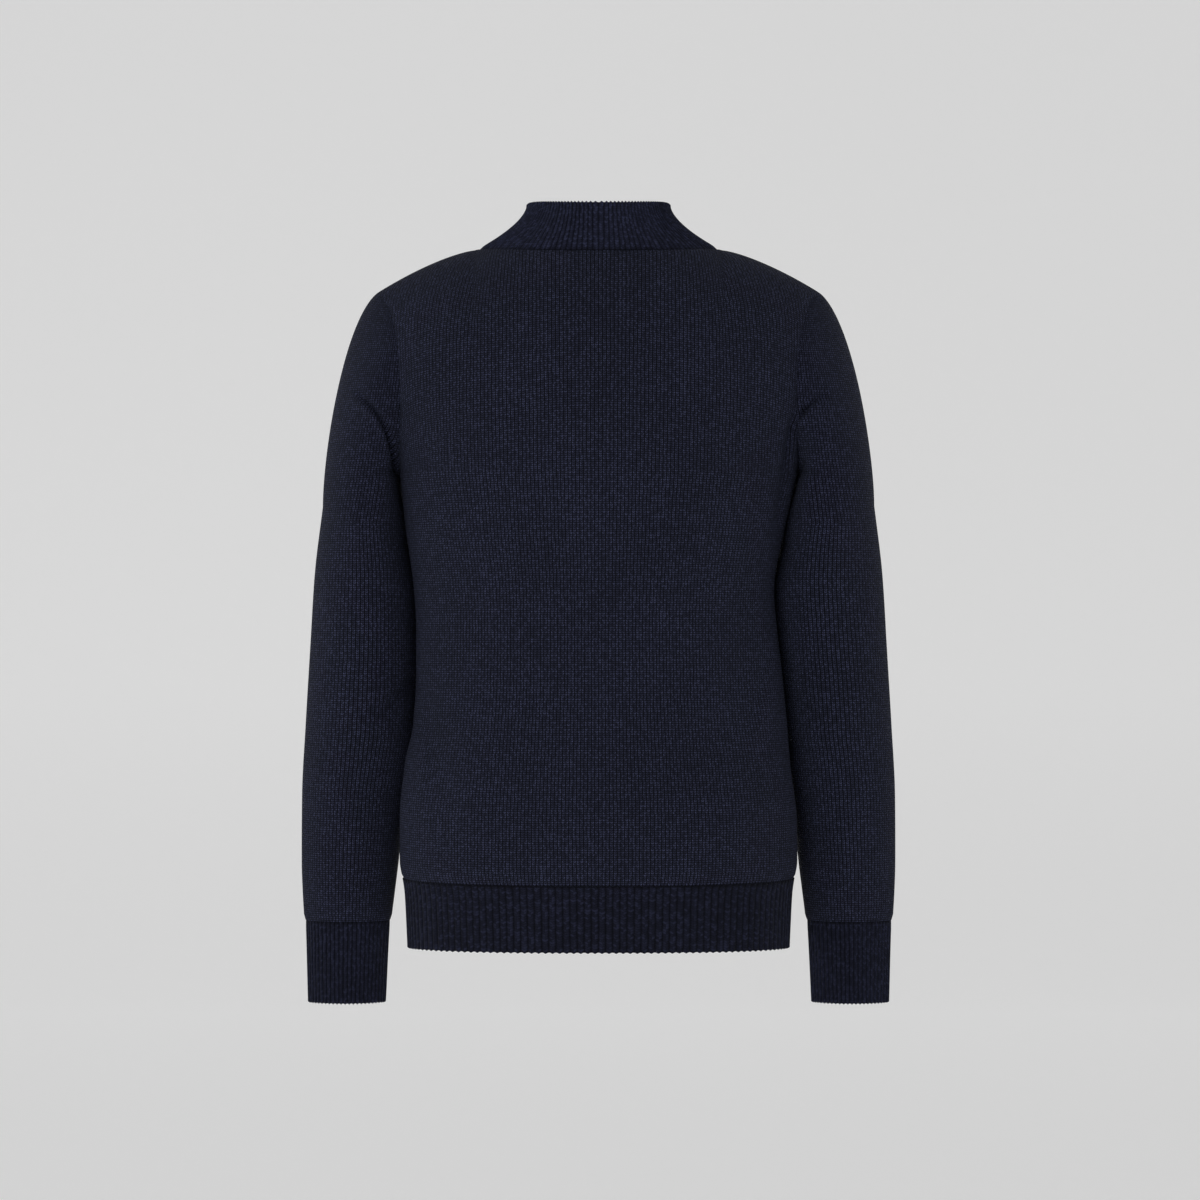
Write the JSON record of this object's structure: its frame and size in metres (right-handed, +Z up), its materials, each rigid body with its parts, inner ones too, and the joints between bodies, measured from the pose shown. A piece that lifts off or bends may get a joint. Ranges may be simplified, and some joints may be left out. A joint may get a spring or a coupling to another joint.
{
  "type": "zip-up cardigan",
  "caption": "Long-sleeved fine-knit cardigan with a full-length front zip, ribbed standing collar, cuffs and hem, filled out as worn and empty inside.",
  "frame": {"origin": "on the middle line at the height of the neck points, level with where the shoulders carry the garment", "axes": "+Z up, -Y towards the front with the zip, +X towards the wearer's left"},
  "size_m": [0.5754, 0.241, 0.7645],
  "materials": {
    "plain_knit": "dark navy plain knit",
    "ribbed_knit": "dark navy ribbed knit",
    "zip_tape": "dark navy woven tape",
    "zip_metal": "darkened metal"
  },
  "bodies": {
    "garment": {"back": "plain_knit", "front_left": "plain_knit", "front_right": "plain_knit", "sleeve_left": "plain_knit", "sleeve_right": "plain_knit", "hem_back": "ribbed_knit", "hem_front_left": "ribbed_knit", "hem_front_right": "ribbed_knit", "cuff_left": "ribbed_knit", "cuff_right": "ribbed_knit", "collar": "ribbed_knit", "zip_tape_left": "zip_tape", "zip_tape_right": "zip_tape", "zip_teeth_left": "zip_metal", "zip_teeth_right": "zip_metal", "zip_slider": "zip_metal", "zip_top_stop_left": "zip_metal", "zip_top_stop_right": "zip_metal", "zip_box": "zip_metal"},
    "zip_pull": {"zip_pull_tab": "zip_metal"}
  },
  "joints": [
    {"name": "pull_tab_hinge", "type": "hinge", "parent": "garment", "child": "zip_pull", "pos_m": [0, -0.07528, -0.03366], "axis": [-1, 0, 0], "range_deg": [0, 150]}
  ]
}
